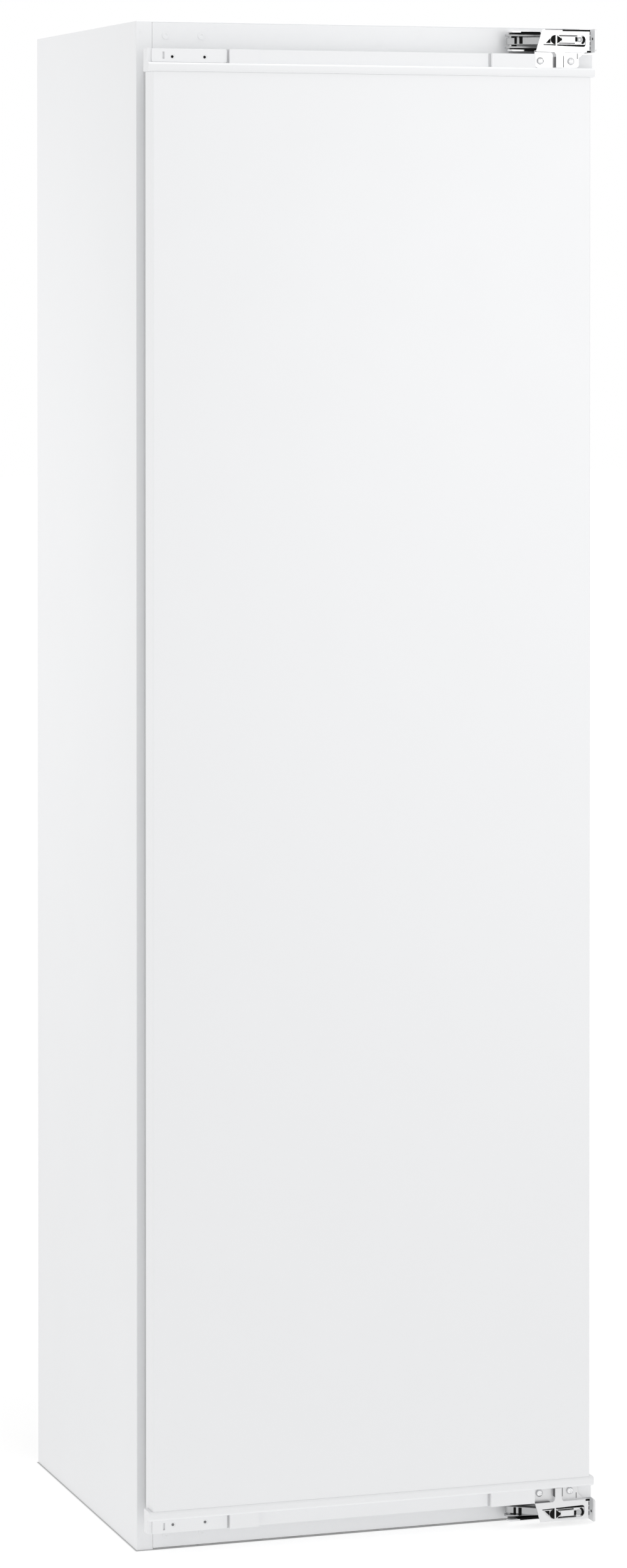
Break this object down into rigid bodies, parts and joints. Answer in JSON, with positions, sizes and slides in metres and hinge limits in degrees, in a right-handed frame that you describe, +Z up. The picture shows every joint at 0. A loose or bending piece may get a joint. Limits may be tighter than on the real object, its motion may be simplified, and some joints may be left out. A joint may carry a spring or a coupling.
{
  "type": "column refrigerator",
  "caption": "Tall built-in column refrigerator: flush white door on multi-link hinges, glass shelves, door bins, crisper drawers and a rear cooling circuit.",
  "frame": {"origin": "middle of the cabinet's base, on the floor, halfway between the front flange and the rear panel", "axes": "+Z up, +X to the right seen from the front, front and door face -Y"},
  "size_m": [0.5503, 0.5455, 1.77],
  "materials": {
    "white_steel": "smooth white coil-coated steel",
    "galvanised": "dull galvanised steel sheet",
    "foam": "rigid insulating foam",
    "liner_plastic": "smooth white vacuum-formed plastic",
    "white_plastic": "satin white moulded plastic",
    "clear_plastic": "clear moulded plastic",
    "black_plastic": "black moulded plastic",
    "shelf_glass": "clear toughened glass with moulded trim",
    "gasket": "soft pale grey seal",
    "rubber": "black rubber",
    "chrome": "bright nickel-plated steel",
    "dark_steel": "black painted steel",
    "aluminium": "bare aluminium",
    "copper": "drawn copper tube"
  },
  "bodies": {
    "cabinet": {"cabinet_wrapper": "white_steel", "rear_panel": "galvanised", "base_pan": "galvanised", "cabinet_foam": "foam", "cabinet_liner": "liner_plastic", "top_rail": "white_steel", "bottom_rail": "white_steel", "shelf_1": "shelf_glass", "shelf_2": "shelf_glass", "shelf_3": "shelf_glass", "shelf_4": "shelf_glass", "shelf_5": "shelf_glass", "control_housing": "white_plastic", "lamp_cover": "clear_plastic", "air_cover": "white_plastic", "fan_motor": "black_plastic", "evaporator_plate": "aluminium", "drain_tube": "black_plastic", "drip_tray": "black_plastic", "compressor": "dark_steel", "grommet_front_left": "rubber", "grommet_front_right": "rubber", "grommet_rear_left": "rubber", "grommet_rear_right": "rubber", "relay_box": "black_plastic", "suction_pipe": "copper", "discharge_pipe": "copper", "filter_drier": "copper", "condenser_tube": "dark_steel", "condenser_grid": "dark_steel", "hinge_base_top": "chrome", "hinge_base_bottom": "chrome"},
    "door": {"door_skin": "white_steel", "door_foam": "foam", "door_liner": "liner_plastic", "door_gasket": "gasket", "door_bin_1": "clear_plastic", "door_bin_2": "clear_plastic", "door_bin_3": "clear_plastic", "door_bin_4": "clear_plastic", "door_cap_top": "white_plastic", "door_cap_bottom": "white_plastic", "fixing_bracket_top": "white_steel", "fixing_bracket_bottom": "white_steel", "hinge_plate_top": "chrome", "hinge_plate_bottom": "chrome", "hinge_screw_top_left": "chrome", "hinge_screw_top_right": "chrome", "hinge_screw_bottom_left": "chrome", "hinge_screw_bottom_right": "chrome"},
    "lid": {"bin_lid": "clear_plastic"},
    "upper_drawer": {"crisper_upper": "clear_plastic"},
    "lower_drawer": {"crisper_lower": "clear_plastic"},
    "knob": {"thermostat_knob": "white_plastic"},
    "fan": {"fan_rotor": "black_plastic"},
    "arm_top": {"hinge_arm_top": "chrome"},
    "arm_bottom": {"hinge_arm_bottom": "chrome"},
    "coupler_top": {"hinge_coupler_top": "chrome"},
    "coupler_bottom": {"hinge_coupler_bottom": "chrome"}
  },
  "joints": [
    {"name": "door_swing", "type": "hinge", "parent": "cabinet", "child": "door", "pos_m": [0.274, -0.272, 0.885], "axis": [0, 0, 1], "range_deg": [0, 115]},
    {"name": "arm_top_turn", "type": "hinge", "parent": "cabinet", "child": "arm_top", "pos_m": [0.231, -0.242, 1.7525], "axis": [0, 0, 1], "range_deg": [0, 115]},
    {"name": "arm_bottom_turn", "type": "hinge", "parent": "cabinet", "child": "arm_bottom", "pos_m": [0.231, -0.242, 0.0165], "axis": [0, 0, 1], "range_deg": [0, 115]},
    {"name": "coupler_top_turn", "type": "hinge", "parent": "door", "child": "coupler_top", "pos_m": [0.224, -0.265, 1.7525], "axis": [0, 0, 1], "range_deg": [-115, 0]},
    {"name": "coupler_bottom_turn", "type": "hinge", "parent": "door", "child": "coupler_bottom", "pos_m": [0.224, -0.265, 0.0165], "axis": [0, 0, 1], "range_deg": [-115, 0]},
    {"name": "upper_drawer_slide", "type": "slide", "parent": "cabinet", "child": "upper_drawer", "axis": [0, -1, 0], "range_m": [0, 0.23]},
    {"name": "lower_drawer_slide", "type": "slide", "parent": "cabinet", "child": "lower_drawer", "axis": [0, -1, 0], "range_m": [0, 0.141]},
    {"name": "lid_turn", "type": "hinge", "parent": "door", "child": "lid", "pos_m": [0, -0.225, 1.4663], "axis": [1, 0, 0], "range_deg": [0, 85]},
    {"name": "knob_turn", "type": "hinge", "parent": "cabinet", "child": "knob", "pos_m": [0.065, -0.172, 1.67735], "axis": [0, -1, 0], "range_deg": [0, 270]},
    {"name": "fan_spin", "type": "hinge", "parent": "cabinet", "child": "fan", "pos_m": [0, 0.153, 1.31], "axis": [0, 1, 0], "continuous": true}
  ],
  "couplings": [
    {"joint": "arm_top_turn", "follows": "door_swing", "ratio": 1},
    {"joint": "arm_bottom_turn", "follows": "door_swing", "ratio": 1},
    {"joint": "coupler_top_turn", "follows": "door_swing", "ratio": -1},
    {"joint": "coupler_bottom_turn", "follows": "door_swing", "ratio": -1},
    {"joint": "upper_drawer_slide", "follows": "door_swing", "m_per_rad": 0.1145},
    {"joint": "lower_drawer_slide", "follows": "door_swing", "m_per_rad": 0.07}
  ]
}
